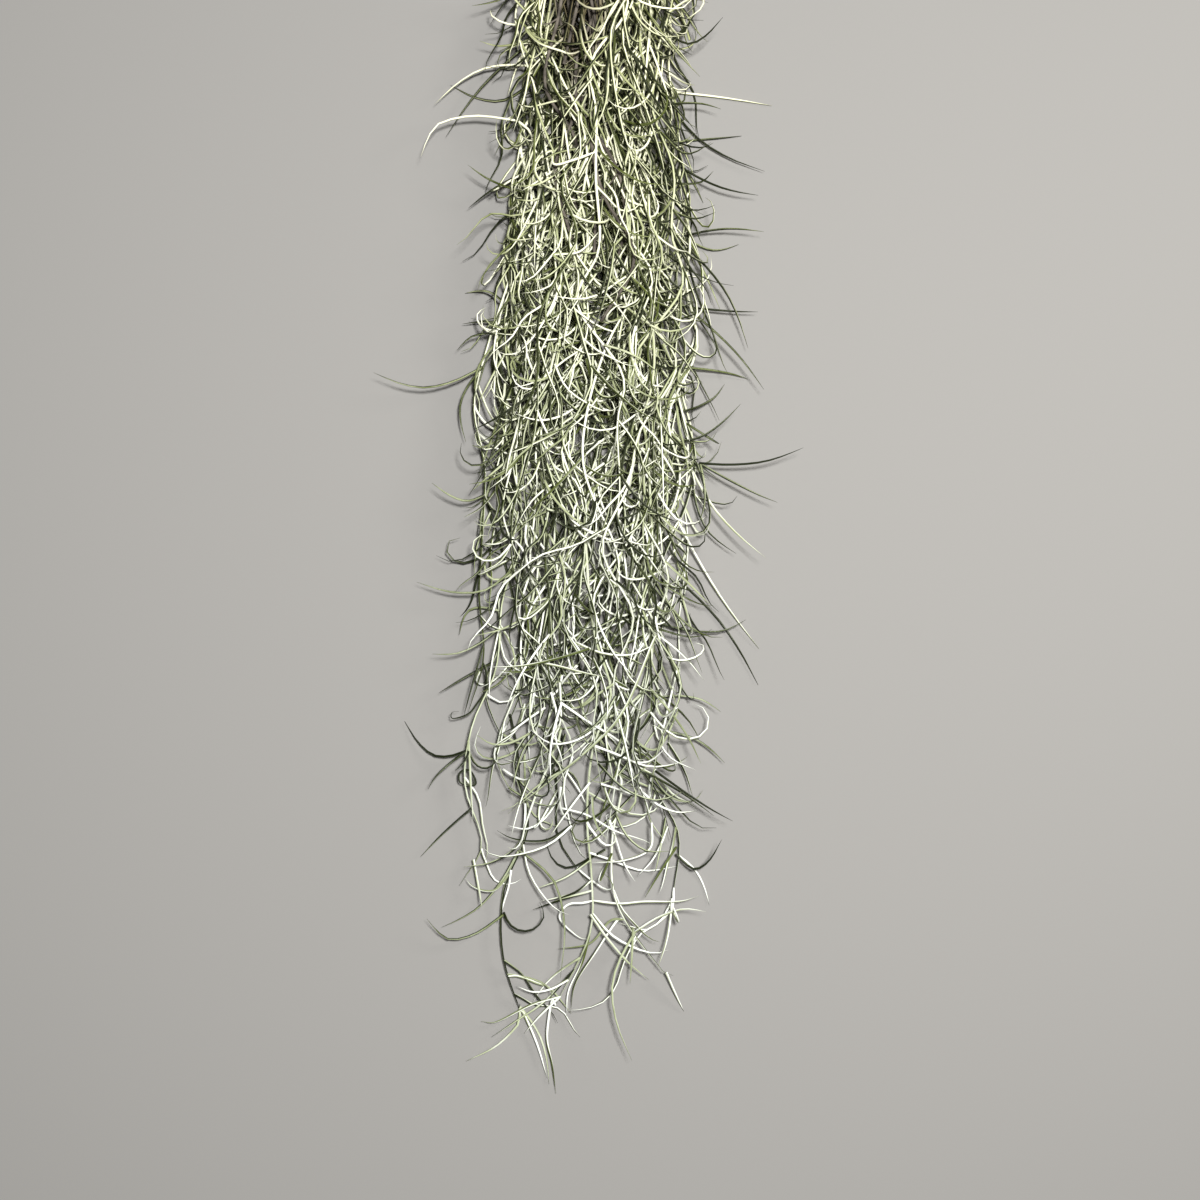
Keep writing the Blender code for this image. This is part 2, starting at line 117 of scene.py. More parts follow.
# Leaves that stand clear of the bunch: foot, bend and tip
STRAYS_MM = (
    (-35, 233, -55, 225, -79, 208), (-35, 241, -55, 217, -73.5, 192), (-45, 209.5, -75, 196, -84.5, 177.5),
    (-35, 212, -47.5, 211, -71.5, 219.5), (-37, 236, -45, 235, -55.5, 236.5),
    (-45, 161, -50, 166, -61, 173.5), (-42, 173.5, -50, 163.5, -62, 155), (-42, 111, -52.5, 113, -64, 113),
    (-60, 70, -82.5, 63, -108.5, 70), (-60, 70, -65.5, 56, -63, 36),
    (-51.5, 87.5, -58.5, 89.5, -67.5, 82.5), (-47.5, 94.5, -55, 97.5, -65, 96.5),
    (-55, 3.5, -64, 6, -79, 14.5), (-41, -28, -56, -40, -87.5, -35), (-55, -39, -61.5, -49, -66.5, -61.5),
    (-52.5, -61.5, -64, -70, -79, -71), (-57.5, -74, -65, -84, -76.5, -91),
    (-70, -121.5, -80, -123, -95, -106), (-70, -124, -76.5, -131.5, -81.5, -139),
    (-53.5, -118, -62.5, -124, -67, -129), (-62, -154, -75, -163, -86.5, -175),
    (-37.5, -184, -55, -199, -76, -211.5), (-50, -216.5, -70, -216.5, -82.5, -205),
    (-17.5, -246, -21.5, -266.5, -17, -301), (-17.5, -246, -37.5, -261.5, -63.5, -280),
    (-36, -250, -25, -269, -21, -291.5), (13.5, -214, 11, -239, 21, -275),
    (41.5, -234, 44.5, -247, 48, -254.5), (42, -194, 39, -214, 34, -229),
    (37.5, -166.5, 54, -180, 66, -164), (47.5, -164, 55, -184, 61, -200),
    (25, -196.5, 45, -199.5, 58, -200), (-21.5, -166.5, -16.5, -189, -15, -234),
    (37.5, 217, 65, 213.5, 93, 209), (35, 243.5, 50, 231.5, 66, 245), (42.5, 215, 57, 190, 89, 174.5),
    (46, 174, 65, 164.5, 85, 160.5), (41, 210, 55, 206, 66, 203), (51.5, 188.5, 67.5, 192.5, 77.5, 193.5),
    (50.5, 147.5, 68, 143.5, 87.5, 141.5), (48, 140, 62.5, 135, 76, 138), (54, 128.5, 69, 110, 80, 83.5),
    (58, 113.5, 72.5, 102.5, 85, 102), (57, 100, 72.5, 81, 87.5, 62), (53, 73.5, 70, 72, 81, 69),
    (54, 57.5, 62.5, 58.5, 68.5, 66), (65.5, 17, 85, 25, 106.5, 32), (66, 16, 82.5, 10, 94, 5),
    (45, 36, 57.5, 38.5, 75, 53.5), (45, 21, 65, -1.5, 87.5, -23), (51.5, 18.5, 58, -6.5, 74, -20.5),
    (57.5, -11.5, 65, -40, 86.5, -69), (42.5, -26.5, 67.5, -56.5, 86, -87.5), (50, -54, 65, -60, 79, -54),
    (45, -86.5, 55, -94, 66, -100.5), (44, -106.5, 55, -115.5, 68.5, -127),
    (45, -131.5, 57.5, -146.5, 71, -154),
)

# Curved leaves and stem ends in front: lift over the surface in millimetres, tint, then points
ARCS_MM = (
    (46, 1.05, 5, 176, -7.5, 172, -17.5, 170, -18.5, 177, -25, 173.5, -27, 167.5, -22.5, 161, -15, 157.5,
     -7.5, 148.5, 5, 133.5),
    (47, 0.95, -31.5, 238.5, -25, 231, -15, 226.5, -7.5, 226, 5, 233.5),
    (48, 1.00, -17.5, 125, -5, 127, 5, 138.5),
    (40, 0.90, 31.5, -64, 17.5, -97, 0, -117.5, -41, -150.5),
    (20, 0.10, -9, -156.5, -20, -164, -30, -165.5, -40, -164, -47, -160.5),
    (12, 0.80, -40, -184, -47.5, -190.5, -53.5, -191.5, -60, -189, -63.5, -185),
    (18, 0.05, -31, -156.5, -37.5, -169, -50, -176.5, -64, -179),
    (10, 1.00, 43, -189, 41, -201.5, 30, -211, 22.5, -210.5, 14, -208),
    (12, 0.90, 1, -194, -4, -197.5, -10, -198, -14, -201, -15, -206.5, -6, -215, 0, -216.5),
    (16, 0.95, 0, -196, 15, -197.5, 27.5, -196.5, 45, -196.5, 55, -194),
    (18, 0.20, 0, -175, -12.5, -184, -27.5, -190),
    (16, 0.30, 1, -186.5, -9, -192.5, -25, -196.5),
    (14, 0.20, 0, -189, -12.5, -195, -29, -201),
    (10, 0.80, 10, -206.5, 0, -218, -16.5, -221.5),
    (20, 0.80, 30, -169, 17, -175, 0, -176.5),
    (9, 0.50, 13.5, -206.5, 3.5, -221.5, -7.5, -239, -10, -254),
    (6, 0.75, -17, -245.5, -30, -250, -47.5, -259, -55.5, -259),
    (6, 0.90, -17, -245.5, -26, -256, -33.5, -265),
    (6, 0.90, -36.5, -235.5, -27.5, -239, -20, -242.5, -9.5, -255),
    (5, 0.60, -19.5, -248, -22, -266.5, -19.5, -281, -17.5, -296),
    (4, 0.95, -33.5, -256, -27, -271, -22, -288),
    (8, 0.15, -10, -230, -22.5, -247.5, -38, -258.5, -50, -266.5),
    (8, 0.70, 2.5, -211, -4, -228, -11, -243, -12, -256),
    (12, 0.05, -58, -137, -61, -130.5, -66, -131.5, -66, -136.5, -61, -137.5, -57.5, -135),
    (16, 0.10, -56, -74, -52.5, -80, -52.5, -89, -56.5, -95.5, -61.5, -101.5, -69.5, -104, -70, -101,
     -66.5, -100.5),
)

# Tips of the leaves that are white; the other leaves that stand clear are dark
WHITE_TIPS_MM = (-79, 208, -84.5, 177.5, 93, 209, 86.5, -69, -63.5, -280, -17, -301, -21, -291.5,
                 48, -254.5, 61, -200, 58, -200, 87.5, -23, 79, 14)


Path = list[Vector]
Point2 = tuple[float, float]
Guide = tuple[Point2, ...]
Colour = tuple[float, float, float, float]


def metres(row: tuple[float, ...]) -> Guide:
    """The points of a row, in metres."""
    return tuple((x / 1000, y / 1000) for x, y in zip(row[::2], row[1::2]))


GUIDES = tuple(metres(row) for row in GUIDES_MM)
STRAYS = tuple(metres(row) for row in STRAYS_MM)
ARCS = tuple((row[0] / 1000, row[1], metres(row[2:])) for row in ARCS_MM)
WHITE_TIPS = metres(WHITE_TIPS_MM)


class Thicket:
    """Every stem and leaf laid so far, as straight segments, so a new one can be kept clear of them."""

    def __init__(self, room: int = 12000) -> None:
        """Makes space for a number of segments.

        Args:
            room: How many segments can be kept.
        """
        self.starts = np.zeros((room, 3))
        self.ends = np.zeros((room, 3))
        self.radii = np.zeros(room)
        self.owners = np.zeros(room, dtype=int)
        self.count = 0

    def add(self, points: Path, radii: list[float], owner: int) -> None:
        """Keeps a row of points as segments.

        Args:
            points: The row of points.
            radii: The thread's radius at each point.
            owner: The number of the strand it belongs to.
        """
        for index in range(len(points) - 1):
            self.starts[self.count] = points[index]
            self.ends[self.count] = points[index + 1]
            self.radii[self.count] = max(radii[index], radii[index + 1])
            self.owners[self.count] = owner
            self.count += 1

    def is_clear(self, start: Vector, end: Vector, radius: float, owner: int, own_too: bool = False,
                 skip_last: int = 0) -> bool:
        """Tests a segment against everything laid.

        Args:
            start: The segment's first point.
            end: Its last point.
            radius: Its radius.
            owner: The strand it belongs to.
            own_too: Whether its own strand counts.
            skip_last: How many of its strand's last segments are passed over.

        Returns:
            True when it keeps its distance.
        """
        count = self.count
        if count == 0:
            return True
        p = np.array(start)
        d1 = np.array(end) - p
        starts = self.starts[:count]
        d2 = self.ends[:count] - starts
        r = p - starts
        a = float(d1 @ d1)
        e = np.einsum("ij,ij->i", d2, d2)
        f = np.einsum("ij,ij->i", d2, r)
        c = r @ d1
        b = d2 @ d1
        along = np.clip((b * f - c * e) / np.maximum(a * e - b * b, 1e-16), 0.0, 1.0)
        other = np.clip((b * along + f) / e, 0.0, 1.0)
        along = np.clip((b * other - c) / a, 0.0, 1.0)
        apart = r + along[:, None] * d1 - other[:, None] * d2
        room = np.sqrt(np.einsum("ij,ij->i", apart, apart)) - self.radii[:count] - radius - GAP
        own = self.owners[:count] == owner
        if own_too:
            if skip_last:
                room[np.nonzero(own)[0][-skip_last:]] = 1.0
        else:
            room[own] = 1.0
        return float(room.min()) > 0.0


@dataclass
class Strand:
    """One leafy stem: its nodes from the upper end to the tip, and its leaves as rows of points."""

    name: str
    radius: float
    nodes: Path = field(default_factory=list)
    leaves: list[Path] = field(default_factory=list)


def section(distance: float) -> list[float]:
    """Half width, height and middle of the bunch at a distance from the head."""
    last = SECTIONS[0]
    for row in SECTIONS[1:]:
        if distance <= row[0]:
            share = max(0.0, (distance - last[0]) / (row[0] - last[0]))
            return [last[k] + (row[k] - last[k]) * share for k in (1, 2, 3)]
        last = row
    return list(SECTIONS[-1][1:])


def lane_point(u: float, v: float, distance: float) -> Vector:
    """A point of the lane across at u (-1 to 1) and up at v (0 to 1), at a distance from the head."""
    half, height, middle = section(distance)
    x = middle + u * half * LANE_SHARE
    z = FLAT_SHARE * STEM_RADIUS + v * (height * 0.92 - STEM_RADIUS)
    return Vector((x, LENGTH / 2 - distance, z))


def make_lanes(rng: random.Random, count: int) -> list[Point2]:
    """Lanes spread evenly through the half round of the bunch.

    Args:
        rng: The seeded draws.
        count: How many lanes.

    Returns:
        Each lane's place across and up.
    """
    lanes: list[Point2] = []
    while len(lanes) < count:
        best = None
        for _ in range(LANE_TRIES):
            u = rng.uniform(-1.0, 1.0)
            v = rng.uniform(-0.16, 1.0)
            if u * u + v * v > 1.0:
                continue
            v = max(0.0, v)
            room = min([(u - a) ** 2 + (0.85 * (v - b)) ** 2 for a, b in lanes] or [1.0])
            if best is None or room > best[0]:
                best = (room, u, v)
        if best:
            lanes.append((best[1], best[2]))
    return lanes


def guide_across(guide: Guide, y: float) -> float | None:
    """Where a guide lies across at y, or nothing above its first point."""
    if y > guide[0][1]:
        return None
    for upper, lower in zip(guide, guide[1:]):
        if y >= lower[1]:
            share = (upper[1] - y) / max(1e-6, upper[1] - lower[1])
            return upper[0] + (lower[0] - upper[0]) * share
    return guide[-1][0]


def grow_stem(thicket: Thicket, rng: random.Random, strand: Strand, owner: int, lane: Point2, begin: float,
              reach: float, guide: Guide | None = None) -> None:
    """Lays a stem down its lane in zigzag steps, each one clear of every stem laid before.

    Args:
        thicket: What is laid so far.
        rng: The seeded draws.
        strand: The strand that gets the nodes.
        owner: The strand's number.
        lane: Its place across and up.
        begin: Where it begins, from the head.
        reach: Where it ends.
        guide: Points across and along that it follows where it leaves the body.
    """
    u, v = lane
    wander = [rng.uniform(0.0, 6.28), rng.uniform(0.0, 6.28)]
    side = rng.choice((-1.0, 1.0))
    stops = []
    distance = begin
    if guide is None and rng.random() < FOLDED:
        tail = rng.uniform(0.034, 0.064)
        stops = [(begin + tail, 1.0)] + [(begin + ahead, aside) for ahead, aside in TURN_BACK]
        distance = begin + 0.034
    folded = len(stops)
    while distance < reach:
        stops.append((distance, 0.0))
        distance += INTERNODE * rng.uniform(0.82, 1.16)
    if guide:
        stops.append((reach, 0.0))
    fold_side = FOLD_WIDTH * rng.choice((-1.0, 1.0))
    mark = thicket.count
    for index, (stop, aside) in enumerate(stops):
        side = -side
        for attempt in range(STEM_TRIES):
            loose = 0.0012 + 0.00022 * attempt
            sway = SWAYS[0][0] * math.sin(wander[0] + stop * SWAYS[0][1])
            sway += SWAYS[1][0] * math.sin(wander[1] + stop * SWAYS[1][1])
            across = max(-1.05, min(1.05, u + sway))
            up = max(0.0, min(1.0, v * (1.0 + RISE[0] * math.sin(wander[1] + stop * RISE[1]))))
            point = lane_point(across, up, min(stop, LENGTH - 0.001))
            if index < folded:
                loose *= 0.4
                point.x += aside * fold_side + rng.gauss(0.0, loose)
            else:
                point.x += side * ZIGZAG * rng.uniform(0.6, 1.4) + rng.gauss(0.0, loose)
                point.y += rng.gauss(0.0, 0.002)
            point.z += rng.gauss(0.0, loose) if v > 0.03 or attempt > 12 else 0.0
            pull = guide_across(guide, point.y) if guide else None
            if pull is not None:
                point.x = pull + rng.gauss(0.0, 0.0004 + 0.00008 * attempt)
            point.z = max(point.z, FLAT_SHARE * strand.radius)
            point.y = min(point.y, LENGTH / 2 - 0.001)
            if not strand.nodes:
                if thicket.is_clear(point, point - Vector((0.0, 0.004, 0.0)), 2.0 * strand.radius, owner):
                    strand.nodes.append(point)
                    break
                continue
            previous = strand.nodes[-1]
            if (point - previous).length < 0.003:
                continue
            if thicket.is_clear(previous, point, strand.radius, owner, own_too=True, skip_last=1):
                thicket.add([previous, point], [strand.radius, strand.radius], owner)
                strand.nodes.append(point)
                break
        else:
            if index > 7:
                return
            if index > 3:
                thicket.count = mark
                strand.nodes = []
                new_lane = (rng.uniform(-0.9, 0.9), rng.uniform(0.1, 0.7)) if guide is None else lane
                grow_stem(thicket, rng, strand, owner, new_lane, begin, reach, guide)
                return


def bent_leaf(root: Vector, along: Vector, out: Vector, length: float, bend: float, roll: float,
              parts: int) -> Path:
    """The points of a leaf that leaves the stem forwards and recurves outwards.

    Args:
        root: Its foot, in the middle of the stem.
        along: The stem's direction.
        out: The direction away from the stem.
        length: The leaf's length.
        bend: How far it turns from foot to tip.
        roll: The tilt of the plane it turns in.
        parts: How many straight parts.

    Returns:
        The points, foot first.
    """
    points = [root]
    heading = along * math.cos(LEAF_START) + out * math.sin(LEAF_START)
    axis = Quaternion(heading, roll) @ along.cross(out).normalized()
    for index in range(parts):
        points.append(points[-1] + heading * (length / parts))
        heading = Quaternion(axis, bend / parts * (0.7 + 0.6 * index / max(1, parts - 1))) @ heading
    return points


def leaf_radii(count: int) -> list[float]:
    """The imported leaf's radius at each point: narrow at the foot, a point at the tip."""
    return [FOOT_RADIUS] + [LEAF_RADIUS * (1.0 - (index / (count - 1)) ** 2.2) for index in range(1, count)]


def leaf_fits(thicket: Thicket, points: Path, owner: int, fringe: float) -> bool:
    """Whether a leaf stays over the surface, within the fringe and clear of everything laid."""
    radii = leaf_radii(len(points))
    for index, point in enumerate(points[1:], 1):
        half, height, middle = section(min(LENGTH, LENGTH / 2 - point.y))
        if abs(point.x - middle) > half + fringe or point.z > height + 0.25 * fringe:
            return False
        if point.z < radii[index] + 0.0002 or abs(point.y) > LENGTH / 2 - 0.0005:
            return False
    for index in range(len(points) - 1):
        wide = max(radii[index], radii[index + 1])
        if not thicket.is_clear(points[index], points[index + 1], wide, owner, own_too=index > 0):
            return False
    return True


def grow_leaf(thicket: Thicket, rng: random.Random, strand: Strand, owner: int, place: float,
              turn: float) -> None:
    """Tries leaves at one place on a stem until one fits, or gives up.

    Args:
        thicket: What is laid so far.
        rng: The seeded draws.
        strand: The strand that gets the leaf.
        owner: The strand's number.
        place: The place along the stem, in nodes.
        turn: The direction round the stem.
    """
    index = min(int(place), len(strand.nodes) - 2)
    share = place - index
    lower = strand.nodes[index + 1]
    upper = strand.nodes[index]
    root = upper.lerp(lower, share)
    along = (lower - upper).normalized()
    aside = along.cross(Vector((0.0, 0.0, 1.0))).normalized()
    above = aside.cross(along).normalized()
    for attempt in range(LEAF_TRIES):
        rank = round((turn + rng.gauss(0.0, 0.5 + 0.05 * attempt)) / THIRD_TURN)
        angle = math.radians(30.0) + THIRD_TURN * rank + rng.uniform(-0.25, 0.25)
        out = aside * math.cos(angle) + above * math.sin(angle)
        kind = rng.random()
        length = rng.uniform(*PACKED_LENGTHS) * (1.0 - 0.010 * attempt)
        roll = rng.gauss(0.0, 0.9)
        least, most, parts = next(curl[1:] for curl in PACKED_CURLS if kind < curl[0])
        bend = math.radians(rng.uniform(least, most))
        points = bent_leaf(root, along, out, length, bend, roll, parts)
        if leaf_fits(thicket, points, owner, LEAF_FRINGE):
            thicket.add(points, leaf_radii(len(points)), owner)
            strand.leaves.append(points)
            return


def grow_stray(thicket: Thicket, rng: random.Random, strands: list[Strand], stray: Guide) -> None:
    """Lays a leaf that stands clear of the bunch, rooted on the nearest stem that leaves it room.

    Args:
        thicket: What is laid so far.
        rng: The seeded draws.
        strands: The leafy strands.
        stray: The leaf's foot, bend and tip, across and along.
    """
    foot, bend, tip = [Vector((x, y, 0.0)) for x, y in stray]
    choices = []
    for owner, strand in enumerate(strands):
        for upper, lower in zip(strand.nodes, strand.nodes[1:]):
            root = upper.lerp(lower, 0.4)
            away = (root.xy - foot.xy).length
            choices.append((away + 0.10 * max(0.0, root.z - 0.030), owner, root))
    choices.sort(key=lambda row: row[0])
    for _, owner, root in choices[:STRAY_ROOTS]:
        for _ in range(STRAY_TRIES):
            lift = rng.uniform(-0.010, 0.010)
            middle = Vector((bend.x, bend.y, max(0.0015, root.z + lift)))
            end = Vector((tip.x, tip.y, max(0.0015, root.z + lift * 1.6 + rng.uniform(-0.006, 0.006))))
            first = root.lerp(middle, 0.5)
            swing = (middle - root).normalized() - (end - middle).normalized()
            first += swing * 0.10 * (middle - root).length
            third = middle.lerp(end, 0.5) + swing * 0.10 * (end - middle).length
            points = [root, first, middle, third, end]
            if leaf_fits(thicket, points, owner, STRAY_FRINGE):
                thicket.add(points, leaf_radii(len(points)), owner)
                strands[owner].leaves.append(points)
                return


def grow_bunch() -> tuple[list[Strand], list[Strand], Vector]:
    """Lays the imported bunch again: stems first, then the strays, then the leaves one round after another.

    Returns:
        The leafy strands, the old stems and the shift to the frame's origin.
    """
    rng = random.Random(SEED)
    thicket = Thicket()
    strands = []
    old_stems = []
    lanes = make_lanes(rng, STRANDS)
    for index in range(OLD_STEMS):
        strand = Strand("old_stem_%d" % (index + 1), OLD_STEM_RADIUS)
        lane = (rng.uniform(-0.45, 0.25), rng.uniform(0.45, 0.82))
        reach = rng.uniform(0.15, 0.26)
        grow_stem(thicket, rng, strand, 1000 + index, lane, rng.uniform(0.004, 0.02), reach)
        old_stems.append(strand)
    for index, lane in enumerate(lanes):
        strand = Strand("strand_%02d" % (index + 1), STEM_RADIUS)
        guide = GUIDES[index] if index < len(GUIDES) else None
        begin = rng.uniform(0.002, 0.034)
        if guide:
            start_half, _, start_middle = section(LENGTH / 2 - guide[0][1])
            u = (guide[0][0] - start_middle) / (start_half * LANE_SHARE)
            lane = (max(-0.95, min(0.95, u)), 0.30 + 0.4 * (1.0 - abs(u)))
            reach = LENGTH / 2 - guide[-1][1]
            begin = max(begin, LENGTH / 2 - guide[0][1] - 0.30)
        else:
            lot = rng.random()
            reach = rng.uniform(*REACHES[0 if lot < SHORTER else 1])
            if -0.3 < lane[0] < 0.6 and lot > LONGER:
                reach = rng.uniform(*REACHES[2])
        grow_stem(thicket, rng, strand, index, lane, begin, reach, guide)
        strands.append(strand)
    for stray in STRAYS:
        grow_stray(thicket, rng, strands, stray)
    turns = [rng.uniform(0.0, 6.28) for _ in strands]
    rounds = math.ceil(LEAVES / len(strands))
    for step in range(rounds):
        for owner, strand in enumerate(strands):
            spaces = len(strand.nodes) - 1
            place = int((step * GOLDEN % 1.0) * spaces) + rng.uniform(0.25, 0.7)
            side = math.pi * (int(place) % 2)
            grow_leaf(thicket, rng, strand, owner, place, turns[owner] + side + 0.5 * place)
    everything = strands + old_stems
    spots = [point for strand in everything for row in [strand.nodes] + strand.leaves for point in row]
    shift = Vector((
        -(min(p.x for p in spots) + max(p.x for p in spots)) / 2,
        -(min(p.y for p in spots) + max(p.y for p in spots)) / 2,
        0.0,
    ))
    for strand in everything:
        strand.nodes = [point + shift for point in strand.nodes]
        strand.leaves = [[point + shift for point in row] for row in strand.leaves]
    return strands, old_stems, shift


def run_along(path: np.ndarray) -> np.ndarray:
    """How far along a path each of its points lies."""
    return np.concatenate([[0.0], np.cumsum(np.linalg.norm(np.diff(path, axis=0), axis=1))])


class Curl(Enum):
    """How an added leaf bends: the least and the most turn in degrees, and its share of the leaves."""

    RECURVED = (40.0, 160.0, 0.50)
    SWAYING = (-70.0, 40.0, 0.26)
    CURLED = (160.0, 330.0, 0.24)


@dataclass(frozen=True)
class MossFinish:
    """The leafy thread's colours: dark, green, sage and pale, from its channelled side, facing away from the
    light as painted shade, to its scaly side, facing the light as a painted highlight.
    """

    dark: Colour = (0.009, 0.013, 0.001, 1.0)
    green: Colour = (0.085, 0.105, 0.022, 1.0)
    sage: Colour = (0.420, 0.450, 0.275, 1.0)
    pale: Colour = (0.900, 0.900, 0.800, 1.0)
    bloom: Colour = (0.860, 0.870, 0.810, 1.0)
    # heart: the brown of the painted shade in the heart of the head, where its dense middle is shaded
    heart: Colour = (0.23, 0.185, 0.135, 1.0)
    head_cast: Colour = (1.0, 0.99, 0.80, 1.0)
    end_cast: Colour = (0.97, 1.0, 1.04, 1.0)
    green_at: float = 0.28
    sage_at: float = 0.66
    roughness: float = 0.55
    # How much darker and paler each thread is painted round its sides, and where the change lies: painted
    # shade away from the light, painted highlight facing it
    lit_side_contrast: float = 0.95
    lit_side_from: float = 0.34
    lit_side_to: float = 0.74
    patch_share: float = 0.20
    bloom_share: float = 0.38
    tip_from: float = 0.88
    tip_share: float = 0.45
    sheen: float = 0.04
    sheen_roughness: float = 0.5
    specular: float = 0.12
    head_y: float = 0.27
    end_y: float = -0.12
    # Where the painted shade in the heart of the head lies, how far it spreads, and where it is full
    heart_shade_place: tuple[float, float, float] = (-0.004, 0.262, 0.022)
    heart_shade_size: tuple[float, float, float] = (0.022, 0.075, 0.034)
    heart_shade_inside: float = 0.45
    patch_scale: float = 55.0
    scale_size: float = 2400.0
    bump: float = 0.35
    bump_depth: float = 0.0001


@dataclass(frozen=True)
class BarkFinish:
    """The old bare stem's colours."""

    dark: Colour = (0.035, 0.028, 0.022, 1.0)
    light: Colour = (0.150, 0.130, 0.105, 1.0)
    roughness: float = 0.8
    patch_scale: float = 140.0
    scale_size: float = 1500.0
    bump: float = 0.5
    bump_depth: float = 0.0002


Finish = MossFinish | BarkFinish


@dataclass
class Thread:
    """A curve with a radius at each point, its tint from dark to pale, and where round it its pale side lies,
    facing the light as a painted highlight, with painted shade on the channelled side opposite.
    """

    points: np.ndarray
    radii: np.ndarray
    tint: float
    kind: str
    phase: float = math.pi
    twist: float = 0.0


def smooth_path(points: Path, steps: int, rings: int) -> np.ndarray:
    """Points of even spacing on a smooth curve through a row of points.

    Args:
        points: The row of points.
        steps: How finely each stretch is traced.
        rings: How many points come back.

    Returns:
        An array of rings by 3.
    """
    row = np.array([tuple(p) for p in points])
    row = np.vstack([2 * row[0] - row[1], row, 2 * row[-1] - row[-2]])
    traced = []
    for k in range(1, len(row) - 2):
        a, b, c, d = row[k - 1], row[k], row[k + 1], row[k + 2]
        for t in np.linspace(0.0, 1.0, steps, endpoint=False):
            traced.append(0.5 * (2 * b + (c - a) * t + (2 * a - 5 * b + 4 * c - d) * t * t
                                 + (3 * b - a - 3 * c + d) * t ** 3))
    traced.append(row[-2])
    traced = np.array(traced)
    run = run_along(traced)
    spots = np.linspace(0.0, run[-1], rings)
    return np.stack([np.interp(spots, run, traced[:, axis]) for axis in range(3)], axis=1)


class ThreadKit:
    """Straight threads of a few sides that copies are bent from."""

    def __init__(self) -> None:
        """Makes the templates: a leaf of five sides and a stem of six."""
        self.templates = {"leaf": self.straight(5, LEAF_RINGS), "stem": self.straight(6, STEM_RINGS)}

    @staticmethod
    def straight(sides: int, rings: int) -> bpy.types.Mesh:
        """A closed straight thread along Z, one ring to each whole height.

        Args:
            sides: Its number of sides.
            rings: Its number of rings.

        Returns:
            The mesh.
        """
        bm = bmesh.new()
        bmesh.ops.create_circle(bm, cap_ends=False, segments=sides, radius=1.0)
        foot = bm.edges[:]
        edge = foot
        for _ in range(1, rings):
            made = bmesh.ops.extrude_edge_only(bm, edges=edge)
            edge = [item for item in made["geom"] if isinstance(item, bmesh.types.BMEdge)]
            bmesh.ops.translate(bm, vec=(0.0, 0.0, 1.0), verts=[
                item for item in made["geom"] if isinstance(item, bmesh.types.BMVert)])
        bmesh.ops.contextual_create(bm, geom=foot)
        bmesh.ops.contextual_create(bm, geom=edge)
        bmesh.ops.recalc_face_normals(bm, faces=bm.faces[:])
        for face in bm.faces:
            face.smooth = True
        mesh = bpy.data.meshes.new("straight_thread")
        bm.to_mesh(mesh)
        bm.free()
        return mesh

    def bend(self, thread: Thread) -> tuple[np.ndarray, np.ndarray, np.ndarray]:
        """Where a template's vertices go when it is bent along a thread.

        Args:
            thread: The thread.

        Returns:
            The vertices' places, how far along each one is, and how far round from the channelled side, from
            0 there to 1 on the pale side, which faces the light as a painted highlight.
        """
        straight = self.templates[thread.kind]
        spots = np.empty(len(straight.vertices) * 3)
        straight.vertices.foreach_get("co", spots)
        spots = spots.reshape(-1, 3)
        rings = thread.points.shape[0]
        level = np.clip(np.rint(spots[:, 2]).astype(int), 0, rings - 1)
        way = np.gradient(thread.points, axis=0)
        way /= np.maximum(np.linalg.norm(way, axis=1, keepdims=True), 1e-12)
        aside = np.cross(way[0], (0.0, 0.0, 1.0))
        if np.linalg.norm(aside) < 0.1:
            aside = np.cross(way[0], (0.0, 1.0, 0.0))
        asides = np.empty_like(way)
        for ring in range(rings):
            aside = aside - way[ring] * (aside @ way[ring])
            aside /= np.linalg.norm(aside)
            asides[ring] = aside
        above = np.cross(way, asides)
        radius = thread.radii[level][:, None]
        placed = (thread.points[level] + asides[level] * spots[:, 0:1] * radius
                  + above[level] * spots[:, 1:2] * radius)
        placed[:, 2] = np.maximum(placed[:, 2], 0.0)
        share = level / (rings - 1)
        # 0 on the side painted dark as shade, 1 on the side painted pale as a highlight
        round_it = np.arctan2(spots[:, 1], spots[:, 0]) - thread.phase - thread.twist * share
        return placed, share, 0.5 + 0.5 * np.cos(round_it)

    def mesh(self, name: str, threads: list[Thread], material: bpy.types.Material) -> bpy.types.Object:
        """One object of many threads, with their tint, the painted light and shade round each, and place
        along each as attributes.

        Args:
            name: The object's name.
            threads: The threads.
            material: Its material.

        Returns:
            The object.
        """
        bm = bmesh.new()
        rows, along, tint, scaly_lit_side = [], [], [], []
        for thread in threads:
            bm.from_mesh(self.templates[thread.kind])
            placed, level, around = self.bend(thread)
            rows.append(placed)
            along.append(level)
            tint.append(np.full(len(level), thread.tint))
            scaly_lit_side.append(around)
        mesh = bpy.data.meshes.new(name)
        bm.to_mesh(mesh)
        bm.free()
        mesh.vertices.foreach_set("co", np.concatenate(rows).ravel())
        for label, values in (("along", along), ("tint", tint), ("scaly_lit_side", scaly_lit_side)):
            layer = mesh.attributes.new(label, "FLOAT", "POINT")
            layer.data.foreach_set("value", np.concatenate(values))
        mesh.update()
        mesh.materials.append(material)
        piece = bpy.data.objects.new(name, mesh)
        bpy.context.scene.collection.objects.link(piece)
        LOG.info("%s: %d threads", piece.name, len(threads))
        return piece


Socket = bpy.types.NodeSocket


